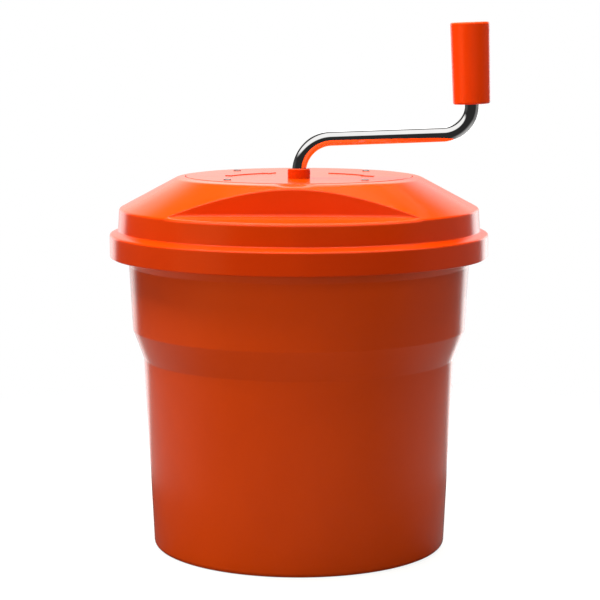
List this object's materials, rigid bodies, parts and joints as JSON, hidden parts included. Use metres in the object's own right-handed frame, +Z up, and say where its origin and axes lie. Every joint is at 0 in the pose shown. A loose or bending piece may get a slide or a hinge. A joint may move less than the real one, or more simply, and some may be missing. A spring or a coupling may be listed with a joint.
{
  "type": "hand-cranked salad spinner",
  "caption": "Bucket with a lift-off lid whose bent crank turns a slotted basket inside through a step-up gear pair.",
  "frame": {"origin": "centre of the bucket's foot, on the surface it stands on", "axes": "+Z up along the bucket's axis; the crank arm points along +X at rest, and the crank's axis lies towards -Y from the centre"},
  "size_m": [0.33, 0.33, 0.4581],
  "materials": {
    "bucket_plastic": "satin moulded orange",
    "lid_plastic": "gloss moulded orange",
    "grip_plastic": "semi-gloss moulded orange",
    "basket_plastic": "satin moulded orange",
    "white_nylon": "natural nylon",
    "gasket_rubber": "matt",
    "polished_rod": "polished",
    "turned_steel": "turned"
  },
  "bodies": {
    "bucket": {"outer_bucket": "bucket_plastic", "pivot_pin": "turned_steel"},
    "carrier": {"pivot_sleeve": "white_nylon"},
    "basket": {"basket": "basket_plastic", "basket_bush": "white_nylon"},
    "lid": {"lid_shell": "lid_plastic", "lid_gasket": "gasket_rubber", "gear_cover": "lid_plastic", "cover_screws": "turned_steel", "crank_upper_bush": "white_nylon", "crank_lower_bush": "white_nylon", "drive_upper_bush": "white_nylon", "drive_lower_bush": "white_nylon"},
    "crank": {"crank_rod": "polished_rod", "crank_gear": "white_nylon", "crank_gear_pin": "turned_steel", "crank_washer": "turned_steel", "crank_ring": "turned_steel", "grip_ring": "turned_steel"},
    "grip": {"crank_grip": "grip_plastic", "grip_bush": "white_nylon", "grip_cap": "grip_plastic"},
    "drive": {"drive_shaft": "turned_steel", "drive_pinion": "white_nylon", "pinion_pin": "turned_steel", "drive_washer": "turned_steel", "drive_ring": "turned_steel", "drive_hub": "white_nylon", "hub_pin": "turned_steel", "hub_screws": "turned_steel", "basket_cover": "basket_plastic"}
  },
  "joints": [
    {"name": "lid_lift", "type": "slide", "parent": "bucket", "child": "lid", "axis": [0, 0, 1], "range_m": [0, 0.44]},
    {"name": "crank_turn", "type": "hinge", "parent": "lid", "child": "crank", "pos_m": [0, -0.036, 0.33], "axis": [0, 0, 1], "continuous": true},
    {"name": "grip_spin", "type": "hinge", "parent": "crank", "child": "grip", "pos_m": [0.1476, -0.036, 0.36366], "axis": [-0.0349, 0, 0.9994], "continuous": true},
    {"name": "drive_spin", "type": "hinge", "parent": "lid", "child": "drive", "pos_m": [0, 0, 0.3], "axis": [0, 0, 1], "continuous": true},
    {"name": "basket_lift", "type": "slide", "parent": "bucket", "child": "carrier", "axis": [0, 0, 1], "range_m": [0, 0.264]},
    {"name": "basket_spin", "type": "hinge", "parent": "carrier", "child": "basket", "pos_m": [0, 0, 0.03], "axis": [0, 0, 1], "continuous": true}
  ],
  "couplings": [
    {"joint": "drive_spin", "follows": "crank_turn", "ratio": -3},
    {"joint": "basket_spin", "follows": "crank_turn", "ratio": -3},
    {"joint": "basket_lift", "follows": "lid_lift", "ratio": 0.6}
  ]
}
